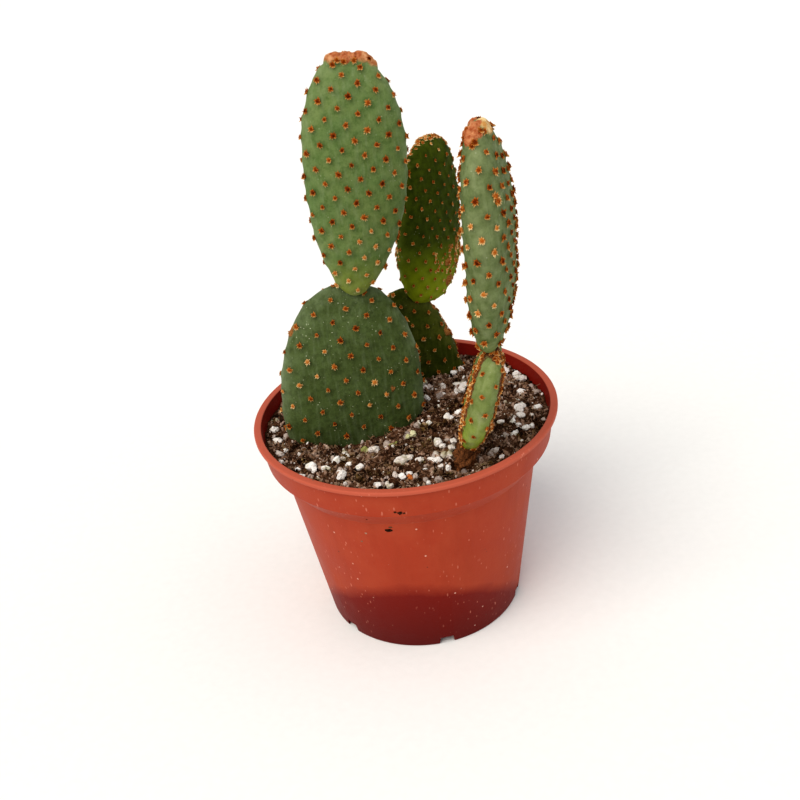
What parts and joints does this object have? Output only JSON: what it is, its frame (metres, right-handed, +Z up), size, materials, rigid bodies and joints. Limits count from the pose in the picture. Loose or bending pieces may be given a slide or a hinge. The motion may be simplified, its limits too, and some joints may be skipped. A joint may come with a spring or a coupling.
{
  "type": "potted paddle cactus",
  "caption": "Small paddle cactus with flat oval pads covered in short rust-coloured bristle tufts, standing in potting mix in a round plastic nursery pot.",
  "frame": {"origin": "centre of the pot's foot, on the surface it stands on", "axes": "+Z up; -Y is the side that shows the broad faces of the left plant; +X is to the right seen from there"},
  "size_m": [0.1, 0.1, 0.1877],
  "materials": {
    "pot_plastic": "satin moulded polypropylene",
    "potting_mix": "rough crumbly peat with white perlite",
    "cactus_skin": "waxy green skin with rust-coloured tufts"
  },
  "bodies": {
    "root": {"pot": "pot_plastic", "soil": "potting_mix", "left_lower_pad": "cactus_skin", "left_upper_pad": "cactus_skin", "middle_lower_pad": "cactus_skin", "middle_upper_pad": "cactus_skin", "right_lower_pad": "cactus_skin", "right_upper_pad": "cactus_skin"}
  },
  "joints": []
}
